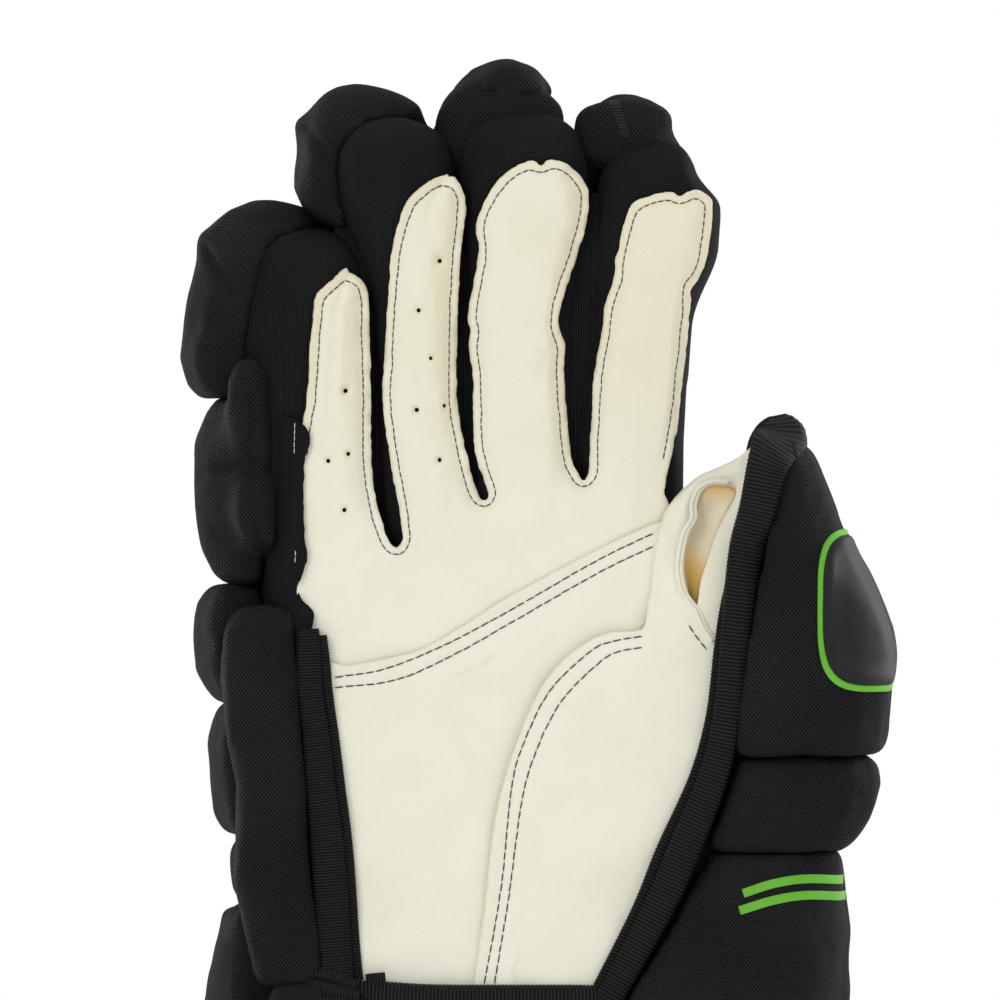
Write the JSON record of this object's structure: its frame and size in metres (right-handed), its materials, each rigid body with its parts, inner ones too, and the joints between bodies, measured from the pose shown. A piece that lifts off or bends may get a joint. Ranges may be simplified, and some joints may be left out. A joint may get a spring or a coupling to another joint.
{
  "type": "ice hockey glove",
  "caption": "Right-hand ice hockey glove with a suede palm, foam rolls under mesh, ribbed finger sides and a flared cuff, standing on its cuff.",
  "frame": {"origin": "bottom centre of the box, on the plane that the rim of the cuff stands on", "axes": "+Z from the cuff towards the fingertips, -Y out of the palm, +X towards the thumb"},
  "size_m": [0.1926, 0.1058, 0.356],
  "materials": {
    "cream_suede": "matte brushed suede",
    "mesh_fabric": "matte air mesh",
    "ribbed_knit": "fine ribbed stretch knit",
    "grosgrain_tape": "ribbed woven tape",
    "smooth_lining": "matte brushed synthetic",
    "badge_rubber": "satin moulded"
  },
  "bodies": {
    "root": {"palm_suede": "cream_suede", "heel_patch": "cream_suede", "thumb_suede": "cream_suede", "pinky_stall": "ribbed_knit", "ring_stall": "ribbed_knit", "middle_stall": "ribbed_knit", "index_stall": "ribbed_knit", "thumb_stall": "ribbed_knit", "pinky_tip_pad": "mesh_fabric", "pinky_base_pad": "mesh_fabric", "ring_tip_pad": "mesh_fabric", "ring_base_pad": "mesh_fabric", "ring_middle_pad": "mesh_fabric", "middle_tip_pad": "mesh_fabric", "middle_base_pad": "mesh_fabric", "middle_middle_pad": "mesh_fabric", "index_tip_pad": "mesh_fabric", "index_base_pad": "mesh_fabric", "index_middle_pad": "mesh_fabric", "pinky_side_pad": "mesh_fabric", "pinky_root_pad": "mesh_fabric", "knuckle_roll": "mesh_fabric", "back_roll": "mesh_fabric", "thumb_back_pad": "mesh_fabric", "side_roll": "mesh_fabric", "thumb_base_roll": "mesh_fabric", "thumb_pad": "mesh_fabric", "cuff_back": "mesh_fabric", "cuff_outer": "mesh_fabric", "cuff_thumb": "mesh_fabric", "hand_shell": "smooth_lining", "knuckle_shell": "smooth_lining", "wrist_roll": "smooth_lining", "cuff_liner": "smooth_lining", "cuff_rim": "grosgrain_tape", "side_binding": "grosgrain_tape", "thumb_binding": "grosgrain_tape", "wrist_binding": "grosgrain_tape", "thumb_badge": "badge_rubber"}
  },
  "joints": []
}
